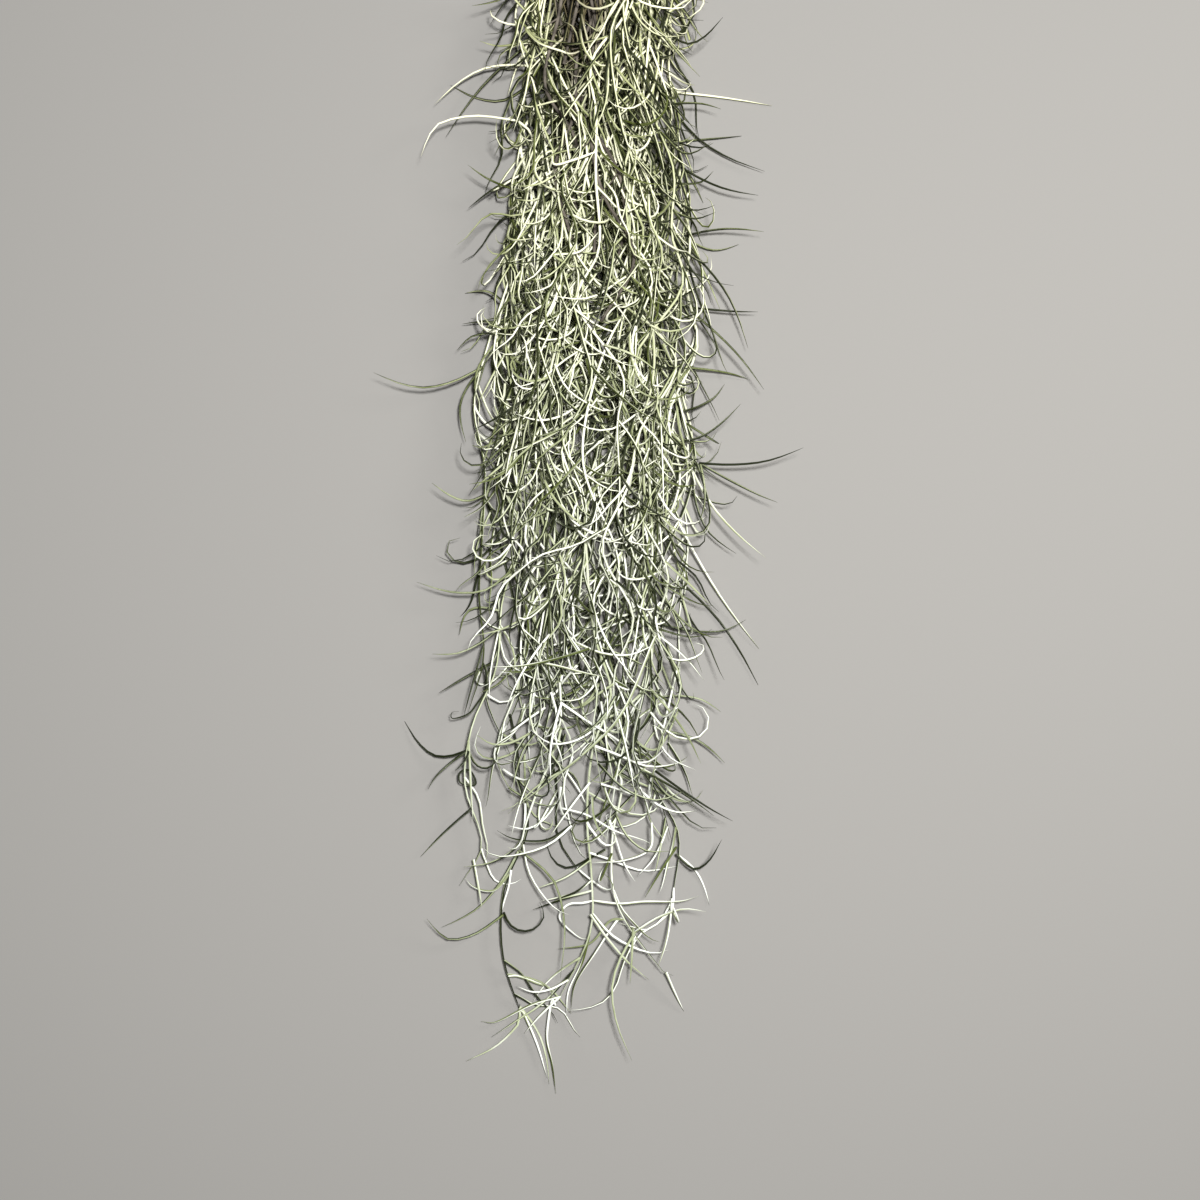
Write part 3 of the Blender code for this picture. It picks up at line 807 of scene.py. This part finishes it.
class NodeNet:
    """Places the nodes of one shader tree and joins them."""

    def __init__(self, tree: bpy.types.NodeTree) -> None:
        """Takes the tree."""
        self.tree = tree

    def add(self, kind: str, inputs: dict | None = None, **settings: object) -> bpy.types.Node:
        """Places a node.

        Args:
            kind: The node's type, without ShaderNode in front.
            inputs: The value or the joined socket for each input.
            settings: The node's own settings.

        Returns:
            The node.
        """
        node = self.tree.nodes.new("ShaderNode" + kind)
        for label, choice in settings.items():
            setattr(node, label, choice)
        self.fill(node, inputs or {})
        return node

    def fill(self, node: bpy.types.Node, inputs: dict) -> None:
        """Gives each named input its value, or joins it to the socket."""
        for label, value in inputs.items():
            if isinstance(value, Socket):
                self.tree.links.new(value, node.inputs[label])
            else:
                node.inputs[label].default_value = value

    def attribute(self, name: str) -> Socket:
        """The value of one of the mesh's attributes."""
        return self.add("Attribute", attribute_name=name).outputs["Fac"]

    def maths(self, operation: str, *values: float | Socket) -> Socket:
        """The result of a sum on values or sockets."""
        return self.add("Math", dict(enumerate(values)), operation=operation).outputs["Value"]

    def ramped(self, value: Socket, low: float, high: float, to_low: float = 0.0,
               to_high: float = 1.0, soft: bool = False) -> Socket:
        """A value moved from one range to another and held inside it.

        Args:
            value: The value.
            low: The first end of its range.
            high: The other end.
            to_low: What the first end becomes.
            to_high: What the other end becomes.
            soft: Whether it eases in and out.

        Returns:
            The value after.
        """
        inputs = {"Value": value, "From Min": low, "From Max": high, "To Min": to_low, "To Max": to_high}
        node = self.add("MapRange", inputs, interpolation_type="SMOOTHSTEP" if soft else "LINEAR")
        return node.outputs["Result"]

    def mixed(self, first: object, second: object, share: object, blend: str = "MIX") -> Socket:
        """A colour between two colours, each a value or a socket, by a share."""
        inputs = {"Factor": share, "A": first, "B": second}
        return self.add("Mix", inputs, data_type="RGBA", blend_type=blend).outputs["Result"]


class ScaleBloom:
    """The shader group of the plant's silvery scales: a bloom mask, a patch mask and a height."""

    def __init__(self) -> None:
        """Builds the group once."""
        self.tree = bpy.data.node_groups.new("scale_bloom", "ShaderNodeTree")
        face = self.tree.interface
        for label, value in (("Patch Scale", 60.0), ("Scale Size", 2600.0)):
            face.new_socket(label, in_out="INPUT", socket_type="NodeSocketFloat").default_value = value
        for label in ("Bloom", "Patch", "Height"):
            face.new_socket(label, in_out="OUTPUT", socket_type="NodeSocketFloat")
        net = NodeNet(self.tree)
        given = self.tree.nodes.new("NodeGroupInput").outputs
        out = self.tree.nodes.new("NodeGroupOutput")
        place = net.add("TexCoord").outputs["Object"]
        patch = net.add("TexNoise", {"Vector": place, "Scale": given["Patch Scale"], "Detail": 3.0})
        scales = net.add("TexVoronoi", {"Vector": place, "Scale": given["Scale Size"]}, feature="F1")
        edge = net.ramped(scales.outputs["Distance"], 0.75, 0.15)
        spread = net.ramped(patch.outputs["Fac"], 0.34, 0.68)
        net.fill(out, {"Bloom": net.maths("MULTIPLY", edge, spread), "Patch": spread, "Height": edge})

    def place(self, net: NodeNet, finish: Finish) -> bpy.types.NodeOutputs:
        """Puts the group in a material.

        Args:
            net: The material's nodes.
            finish: How close the silvery patches lie, and how fine the scales are.

        Returns:
            The group's outputs.
        """
        inputs = {"Patch Scale": finish.patch_scale, "Scale Size": finish.scale_size}
        return net.add("Group", node_tree=self.tree, inputs=inputs).outputs

    @staticmethod
    def raised(net: NodeNet, finish: Finish, height: Socket) -> Socket:
        """The normal of the raised scales."""
        inputs = {"Strength": finish.bump, "Distance": finish.bump_depth, "Height": height}
        return net.add("Bump", inputs).outputs["Normal"]


class Wardrobe:
    """The bunch's materials."""

    def __init__(self) -> None:
        """Makes moss and bark."""
        self.scales = ScaleBloom()
        self.moss = self.moss_material(MossFinish())
        self.bark = self.bark_material(BarkFinish())

    @staticmethod
    def blank(name: str, roughness: float) -> tuple[bpy.types.Material, bpy.types.Node, NodeNet]:
        """A new material, its Principled shader and its nodes."""
        material = bpy.data.materials.new(name)
        material.use_nodes = True
        shader = material.node_tree.nodes["Principled BSDF"]
        shader.inputs["Roughness"].default_value = roughness
        return material, shader, NodeNet(material.node_tree)

    def moss_material(self, finish: MossFinish) -> bpy.types.Material:
        """The grey-green thread under its silvery scales.

        Args:
            finish: Its colours.

        Returns:
            The material.
        """
        material, shader, net = self.blank("moss_thread", finish.roughness)
        scales = self.scales.place(net, finish)
        # Painted light and shade round each thread: darker on the channelled side facing away from the light,
        # paler on the side facing it
        side = net.attribute("scaly_lit_side")
        half = 0.5 * finish.lit_side_contrast
        step = net.ramped(side, finish.lit_side_from, finish.lit_side_to, -half, half, soft=True)
        tint = net.maths("MULTIPLY_ADD", scales["Patch"], finish.patch_share, net.attribute("tint"))
        ramp = net.add("ValToRGB", {"Fac": net.maths("ADD", tint, step)})
        stops = ramp.color_ramp.elements
        stops[0].position, stops[0].color = 0.0, finish.dark
        stops[1].position, stops[1].color = 1.0, finish.pale
        for place, colour in ((finish.green_at, finish.green), (finish.sage_at, finish.sage)):
            stops.new(place).color = colour
        # Silvery scales on the pale side only: partly the real scaly side, partly a painted highlight facing
        # the light
        amount = net.maths("MULTIPLY", scales["Bloom"], net.maths("MULTIPLY", side, finish.bloom_share))
        silver = net.mixed(ramp.outputs["Color"], finish.bloom, amount)
        ending = net.ramped(net.attribute("along"), finish.tip_from, 1.0, 0.0, finish.tip_share)
        tipped = net.mixed(silver, finish.dark, ending)
        normal = self.scales.raised(net, finish, scales["Height"])
        net.fill(shader, {"Base Color": self.cast(net, finish, tipped), "Normal": normal,
                          "Sheen Weight": finish.sheen, "Sheen Roughness": finish.sheen_roughness,
                          "Specular IOR Level": finish.specular})
        return material

    @staticmethod
    def cast(net: NodeNet, finish: MossFinish, colour: Socket) -> Socket:
        """Yellower towards the head, greyer towards the end, and browner and darker in the heart of the head
        as painted shade.

        Args:
            net: The material's nodes.
            finish: Its colours.
            colour: The colour so far.

        Returns:
            The colour after.
        """
        place = net.add("TexCoord").outputs["Object"]
        down = net.add("SeparateXYZ", {"Vector": place}).outputs["Y"]
        hue = net.mixed(finish.head_cast, finish.end_cast, net.ramped(down, finish.head_y, finish.end_y))
        # Painted shade: a brown darkening in the heart of the head
        away = net.add("Mapping", vector_type="TEXTURE")
        net.fill(away, {"Vector": place, "Location": finish.heart_shade_place, "Scale": finish.heart_shade_size})
        far = net.add("VectorMath", {0: away.outputs["Vector"]}, operation="LENGTH").outputs["Value"]
        shade = net.mixed(hue, finish.heart, net.ramped(far, 1.0, finish.heart_shade_inside, soft=True))
        return net.mixed(colour, shade, 1.0, "MULTIPLY")

    def bark_material(self, finish: BarkFinish) -> bpy.types.Material:
        """The old stem, its skin worn off.

        Args:
            finish: Its colours.

        Returns:
            The material.
        """
        material, shader, net = self.blank("old_bark", finish.roughness)
        scales = self.scales.place(net, finish)
        net.fill(shader, {"Base Color": net.mixed(finish.dark, finish.light, scales["Patch"]),
                          "Normal": self.scales.raised(net, finish, scales["Height"])})
        return material


@dataclass
class LeafySpray:
    """Gives a stem its fine thread and its added leaves, with lengths in metres and turns in radians."""

    rng: random.Random
    stem_radius: float = 0.00065
    leaf_radius: float = 0.00064
    tip_share: float = 0.10
    gap_between: float = 0.019
    lengths: Point2 = (0.030, 0.064)
    tries: int = 8
    near_tip: float = 0.006
    clear_by: float = 0.010
    low_from: float = 0.40
    tip_white: float = 1.1
    clear_tints: Point2 = (-0.45, -0.05)
    white_tints: Point2 = (0.90, 1.15)
    dark_tints: Point2 = (-0.16, 0.20)
    stem_tint: float = 0.10
    stem_tint_more: float = 0.42
    tint_spread: float = 0.24
    # Leaves rooted in the heart of the head are darkened as painted shade: how far down, how far across, and
    # by how much
    heart_shade_end: float = 0.10
    heart_shade_half: float = 0.016
    heart_shade_dim: float = 0.55

    def radii(self, full: float, rings: int, tip: float) -> np.ndarray:
        """Radius along a thread: a sheath at the foot, even, then drawn out to the tip."""
        t = np.linspace(0.0, 1.0, rings)
        return full * np.maximum(tip, (1.0 - t ** 3.6)) * (1.0 + 0.15 * np.exp(-t * 12.0))

    def tint(self, row: np.ndarray) -> float:
        """The tint of a leaf by where it grows: dark at the sides, darker in the heart of the head as painted
        shade, often white low down.
        """
        rng = self.rng
        distance = LENGTH / 2 - row[0][1]
        half, _, middle = section(min(LENGTH, max(0.0, distance)))
        tip = row[-1]
        if any(math.hypot(tip[0] - x, tip[1] - y) < self.near_tip for x, y in WHITE_TIPS):
            return self.tip_white
        clear = abs(tip[0] - middle) - half
        if clear > self.clear_by:
            return rng.uniform(*self.clear_tints)
        lot = rng.random()
        if lot < (0.29 if distance > self.low_from else 0.13 + 0.50 * max(0.0, distance - 0.15)):
            return rng.uniform(*self.white_tints)
        if lot < (0.50 if distance > 0.22 else 0.38):
            return rng.uniform(*self.dark_tints)
        value = rng.gauss(0.52 + 0.7 * max(0.0, distance - 0.18), self.tint_spread)
        # Painted shade in the heart of the head
        if distance < self.heart_shade_end and abs(row[0][0]) < self.heart_shade_half:
            value *= self.heart_shade_dim
        return min(1.0, max(0.1, value - 8.0 * max(0.0, clear)))

    def turned_to_light(self, thread: Thread) -> Thread:
        """Sets the painted light and shade round a thread: the dark channelled side of most faces left, away
        from the light, so their pale side is a painted highlight facing it; all twist a little.
        """
        rng = self.rng
        thread.phase = math.pi + rng.gauss(0.0, 0.8) if rng.random() < 0.8 else rng.uniform(0.0, math.tau)
        thread.twist = rng.uniform(-1.8, 1.8) * (4.0 if thread.kind == "stem" else 1.0)
        return thread

    def stem(self, nodes: Path, radius: float) -> Thread:
        """The stem's own thread."""
        points = smooth_path(nodes, 6, STEM_RINGS)
        t = np.linspace(0.0, 1.0, STEM_RINGS)
        tint = self.stem_tint + self.stem_tint_more * self.rng.random()
        return self.turned_to_light(Thread(points, radius * (1.0 - 0.30 * t ** 2 - 0.60 * t ** 24), tint, "stem"))

    def packed_leaf(self, points: Path) -> Thread:
        """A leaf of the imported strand, on the same points."""
        row = smooth_path(points, 8, LEAF_RINGS)
        radii = self.radii(self.leaf_radius, LEAF_RINGS, self.tip_share)
        return self.turned_to_light(Thread(row, radii, self.tint(row), "leaf"))

    def added_leaf(self, root: np.ndarray, along: np.ndarray, fringe: float, limit: float) -> Thread | None:
        """A free leaf at a place on a stem.

        Args:
            root: Its foot.
            along: The stem's direction there.
            fringe: How far past the body it may reach.
            limit: How far along the bunch, from the head, it may reach.

        Returns:
            The leaf, or nothing if none fitted.
        """
        rng = self.rng
        for _ in range(self.tries):
            kind = rng.choices(list(Curl), [curl.value[2] for curl in Curl])[0]
            bend = math.radians(rng.uniform(kind.value[0], kind.value[1]))
            length = rng.uniform(*self.lengths)
            if kind is Curl.CURLED:
                length *= 0.9
            way = Vector(along).normalized()
            turn = rng.uniform(0.0, math.tau)
            aside = way.cross(Vector((0.0, 0.0, 1.0)))
            if aside.length < 0.1:
                aside = way.cross(Vector((1.0, 0.0, 0.0)))
            out = Quaternion(way, turn) @ aside.normalized()
            out.z *= 0.55
            out.normalize()
            start = rng.uniform(0.20, 0.70 + 1.6 * max(0.0, LENGTH / 2 - root[1] - 0.20))
            heading = way * math.cos(start) + out * math.sin(start)
            axis = Quaternion(heading, rng.gauss(0.0, 0.9)) @ way.cross(out).normalized()
            late = rng.uniform(0.3, 2.2)
            wave = rng.uniform(-1.5, 1.5) if kind is Curl.SWAYING else rng.uniform(-0.7, 0.7)
            spot = Vector(root)
            points = [spot.copy()]
            parts = LEAF_RINGS - 1
            weights = [(k / parts) ** late + 0.15 for k in range(parts)]
            total = sum(weights)
            for k in range(parts):
                spot = spot + heading * (length / parts)
                points.append(spot.copy())
                step = bend * weights[k] / total + wave * math.sin(k * 1.1) * 0.35
                heading = Quaternion(axis, step) @ heading
                heading = (heading + Vector((0.0, -0.035, -0.004))).normalized()
            row = np.array([tuple(p) for p in points])
            if self.inside(row, fringe * rng.uniform(0.4, 1.9), limit):
                radii = self.radii(self.leaf_radius * rng.uniform(0.82, 1.08), LEAF_RINGS, self.tip_share)
                return self.turned_to_light(Thread(row, radii, self.tint(row), "leaf"))
        return None

    def inside(self, row: np.ndarray, fringe: float, limit: float) -> bool:
        """Whether a leaf stays over the surface and within the fringe."""
        for x, y, z in row[2::2]:
            distance = LENGTH / 2 - y
            half, height, middle = section(min(LENGTH, max(0.0, distance)))
            if not 0.004 <= distance <= limit or not 0.0006 <= z <= height + 0.005:
                return False
            if abs(x - middle) > half + fringe:
                return False
        return True

    def leaves_along(self, nodes: Path, gap: float, fringe: float, limit: float) -> list[Thread]:
        """Added leaves all along a stem.

        Args:
            nodes: The stem's nodes.
            gap: The mean distance between leaves.
            fringe: How far past the body they may reach.
            limit: How far along the bunch they may reach.

        Returns:
            The leaves.
        """
        path = smooth_path(nodes, 6, 8 * len(nodes))
        way = np.gradient(path, axis=0)
        run = run_along(path)
        leaves = []
        place = gap * self.rng.uniform(0.2, 1.0)
        while place < run[-1]:
            index = int(np.searchsorted(run, place))
            leaf = self.added_leaf(path[index], way[index], fringe, limit)
            if leaf is not None:
                leaves.append(leaf)
            distance = LENGTH / 2 - path[index][1]
            looser = 1.0 + 9.0 * min(0.12, max(0.0, distance - 0.20))
            looser -= 12.0 * max(0.0, distance - self.low_from)
            place += gap * max(0.8, looser) * self.rng.uniform(0.5, 1.5)
        return leaves


def settle(threads: list[Thread], shift: Vector, over: float) -> None:
    """Moves threads to the frame's place and keeps them over the surface.

    Args:
        threads: The threads.
        shift: From the growth's place to the frame's.
        over: The share of its radius that a thread's middle stays over the surface.
    """
    for thread in threads:
        thread.points = thread.points + np.array(shift)
        thread.points[:, 2] = np.maximum(thread.points[:, 2], over * thread.radii)


@dataclass
class MossyPiece:
    """What every mossy piece is made with; the shift is from the growth's place to the frame's."""

    kit: ThreadKit
    spray: LeafySpray
    moss: bpy.types.Material
    shift: Vector


@dataclass
class FillTangle(MossyPiece):
    """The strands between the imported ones, in sprays of a few stems to a piece."""

    pieces: int = 12
    stems: int = 4
    gap: float = 0.0135
    fringe: float = 0.010
    limit: float = 0.495

    def stem_nodes(self) -> Path:
        """The nodes of one loose stem inside the bunch."""
        rng = self.spray.rng
        angle = rng.uniform(0.0, math.pi)
        reach = math.sqrt(rng.random())
        u = reach * math.cos(angle)
        v = reach * math.sin(angle)
        begin = 0.01 + 0.30 * rng.random() ** 1.8
        end = min(begin + rng.uniform(0.12, 0.30), rng.uniform(0.30, 0.46))
        wander = [rng.uniform(0.0, math.tau) for _ in range(4)]
        quick = rng.uniform(40.0, 85.0)
        nodes = []
        distance = begin
        while distance < end or len(nodes) < 4:
            sway = 0.22 * math.sin(wander[0] + distance * 20.0)
            sway += 0.13 * math.sin(wander[1] + distance * quick)
            rise = 0.20 * math.sin(wander[2] + distance * 24.0)
            rise += 0.10 * math.sin(wander[3] + distance * quick)
            point = lane_point(max(-1.1, min(1.1, u + sway)), max(0.01, min(1.0, v + rise)), distance)
            point.z = max(0.001, point.z)
            nodes.append(point)
            distance += rng.uniform(0.012, 0.024)
        return nodes

    def build(self) -> None:
        """Lays the fill."""
        spray = self.spray
        for number in range(self.pieces):
            threads = []
            for _ in range(self.stems):
                nodes = self.stem_nodes()
                threads.append(spray.stem(nodes, spray.stem_radius * spray.rng.uniform(0.8, 1.05)))
                threads += spray.leaves_along(nodes, self.gap, self.fringe, self.limit)
            settle(threads, self.shift, 1.0)
            piece = self.kit.mesh("fill_strands_%02d" % (number + 1), threads, self.moss)
            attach(piece, "root")


@dataclass
class LeafyStrand(MossyPiece):
    """A packed strand redrawn as fine threads on the same points, with more leaves."""

    plan: Strand
    wider: float = 1.12
    fringe: float = 0.012
    past_end: float = 0.030

    def build(self) -> None:
        """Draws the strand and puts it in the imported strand's place."""
        spray = self.spray
        nodes = [point - self.shift for point in self.plan.nodes]
        threads = [spray.stem(nodes, spray.stem_radius * self.wider)]
        threads += [spray.packed_leaf([point - self.shift for point in row]) for row in self.plan.leaves]
        limit = min(0.585, LENGTH / 2 - nodes[-1].y + self.past_end)
        threads += spray.leaves_along(nodes, spray.gap_between, self.fringe, limit)
        settle(threads, self.shift, FLAT_SHARE)
        piece = self.kit.mesh("moss_" + self.plan.name, threads, self.moss)
        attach(piece, "root")
        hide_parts(self.plan.name)


@dataclass
class FrontArcs(MossyPiece):
    """The curved leaves and stem ends that show in front of the bunch and at its lower end."""

    strands: list[Strand]
    tip_share: float = 0.12

    def rooted(self, lift: float, points: Guide) -> Path:
        """An arc's points, from a foot on the nearest stem at or above it.

        Args:
            lift: The arc's height over the surface.
            points: Its points across and along.

        Returns:
            The points in the frame.
        """
        first = Vector((*points[0], lift)) + self.shift
        paths = [smooth_path(strand.nodes, 6, 6 * len(strand.nodes)) for strand in self.strands]
        spots = [Vector(spot) for path in paths for spot in path]
        foot = min(spots, key=lambda spot: (spot.xy - first.xy).length + 0.3 * abs(spot.z - first.z))
        droop = lift / (3.0 * len(points))
        row = [foot]
        for index, (x, y) in enumerate(points):
            share = min(1.0, (index + 1) / 3)
            spot = Vector((x, y, lift - droop * index)) + self.shift
            spot.z = foot.z + (spot.z - foot.z) * share
            if (spot - row[-1]).length > 0.003:
                row.append(spot)
        return row

    def build(self) -> None:
        """Draws the arcs as one piece."""
        spray = self.spray
        threads = []
        for lift, tint, points in ARCS:
            radii = spray.radii(spray.leaf_radius, STEM_RINGS, self.tip_share)
            radii *= np.minimum(1.0, 0.55 + 6.0 * np.linspace(0.0, 1.0, STEM_RINGS))
            path = smooth_path(self.rooted(lift, points), 12, STEM_RINGS)
            threads.append(spray.turned_to_light(Thread(path, radii, tint, "stem")))
        piece = self.kit.mesh("front_arcs", threads, self.moss)
        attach(piece, "root")


@dataclass
class OldStem:
    """A bare stem in the heart of the bunch."""

    kit: ThreadKit
    bark: bpy.types.Material
    rng: random.Random
    plan: Strand
    radius: float = 0.00085
    twig_lengths: Point2 = (0.006, 0.014)
    twig_radii: Point2 = (0.0006, 0.0002)

    def build(self) -> None:
        """Draws the stem with a few dead side twigs."""
        points = smooth_path(self.plan.nodes, 6, STEM_RINGS)
        wide = self.radius * (1.0 + 0.12 * np.sin(np.arange(STEM_RINGS) * 1.7))
        threads = [Thread(points, wide, 0.0, "stem")]
        for node, after in zip(self.plan.nodes[1:-1], self.plan.nodes[2:]):
            way = (after - node).normalized()
            out = Quaternion(way, self.rng.uniform(0.0, math.tau)) @ way.orthogonal().normalized()
            tip = node + (way * 0.7 + out) * self.rng.uniform(*self.twig_lengths)
            row = smooth_path([node, node.lerp(tip, 0.5) + way * 0.001, tip], 6, LEAF_RINGS)
            threads.append(Thread(row, np.linspace(*self.twig_radii, LEAF_RINGS), 0.0, "leaf"))
        piece = self.kit.mesh("bare_" + self.plan.name, threads, self.bark)
        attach(piece, "root")
        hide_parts(self.plan.name)


@dataclass
class Studio:
    """Floor, light and camera."""

    shift: Vector
    centre: Point2 = (0.005, -0.044)
    height: float = 1.025
    lens: float = 60.0
    sensor: float = 36.0
    aim: tuple[float, float, float] = (0.0, -0.02, 0.0)
    floor_size: float = 4.0
    floor_colour: Colour = (0.250, 0.245, 0.236, 1.0)
    floor_roughness: float = 0.9
    sky_colour: Colour = (1.0, 0.99, 0.96, 1.0)
    sky_strength: float = 0.09

    def floor(self) -> None:
        """A plain pale floor at the surface's height."""
        bm = bmesh.new()
        bmesh.ops.create_grid(bm, x_segments=1, y_segments=1, size=self.floor_size)
        mesh = bpy.data.meshes.new("floor")
        bm.to_mesh(mesh)
        bm.free()
        floor = bpy.data.objects.new("floor", mesh)
        bpy.context.scene.collection.objects.link(floor)
        material, shader, _ = Wardrobe.blank("floor_plain", self.floor_roughness)
        shader.inputs["Base Color"].default_value = self.floor_colour
        mesh.materials.append(material)

    def light(self, name: str, place: tuple[float, float, float], size: float, power: float,
              colour: tuple[float, float, float]) -> None:
        """A soft square light aimed at the bunch.

        Args:
            name: Its name.
            place: Where it hangs.
            size: The length of its side.
            power: Its power in watts.
            colour: Its colour.
        """
        lamp = bpy.data.lights.new(name, "AREA")
        lamp.size = size
        lamp.energy = power
        lamp.color = colour
        holder = bpy.data.objects.new(name, lamp)
        holder.location = place
        aim = Vector(self.aim) - Vector(place)
        holder.rotation_euler = aim.to_track_quat("-Z", "Y").to_euler()
        bpy.context.scene.collection.objects.link(holder)

    def build(self) -> None:
        """Sets up floor, lights, world and camera."""
        self.floor()
        self.light("front_light", (0.14, 0.11, 1.42), 0.12, 33.0, (1.0, 0.99, 0.97))
        self.light("side_light", (0.85, 0.35, 0.80), 0.35, 6.0, (1.0, 0.97, 0.92))
        world = bpy.data.worlds.new("studio")
        world.use_nodes = True
        sky = world.node_tree.nodes["Background"]
        sky.inputs["Color"].default_value = self.sky_colour
        sky.inputs["Strength"].default_value = self.sky_strength
        bpy.context.scene.world = world
        bpy.context.scene.view_settings.view_transform = "Standard"
        lens = bpy.data.cameras.new("camera")
        lens.lens = self.lens
        lens.sensor_width = self.sensor
        camera = bpy.data.objects.new("camera", lens)
        camera.location = (self.centre[0] + self.shift.x, self.centre[1] + self.shift.y, self.height)
        bpy.context.scene.collection.objects.link(camera)
        bpy.context.scene.camera = camera


def main() -> None:
    """Builds the bunch and the studio."""
    logging.basicConfig(level=logging.INFO, format="%(message)s")
    strands, old_stems, shift = grow_bunch()
    kit = ThreadKit()
    wardrobe = Wardrobe()
    spray = LeafySpray(random.Random(SEED + 1))
    for plan in strands:
        LeafyStrand(kit, spray, wardrobe.moss, shift, plan).build()
    twigs = random.Random(SEED + 2)
    for plan in old_stems:
        OldStem(kit, wardrobe.bark, twigs, plan).build()
    FillTangle(kit, LeafySpray(random.Random(SEED + 3)), wardrobe.moss, shift).build()
    FrontArcs(kit, LeafySpray(random.Random(SEED + 4)), wardrobe.moss, shift, strands).build()
    Studio(shift).build()


if __name__ == "__main__":
    main()
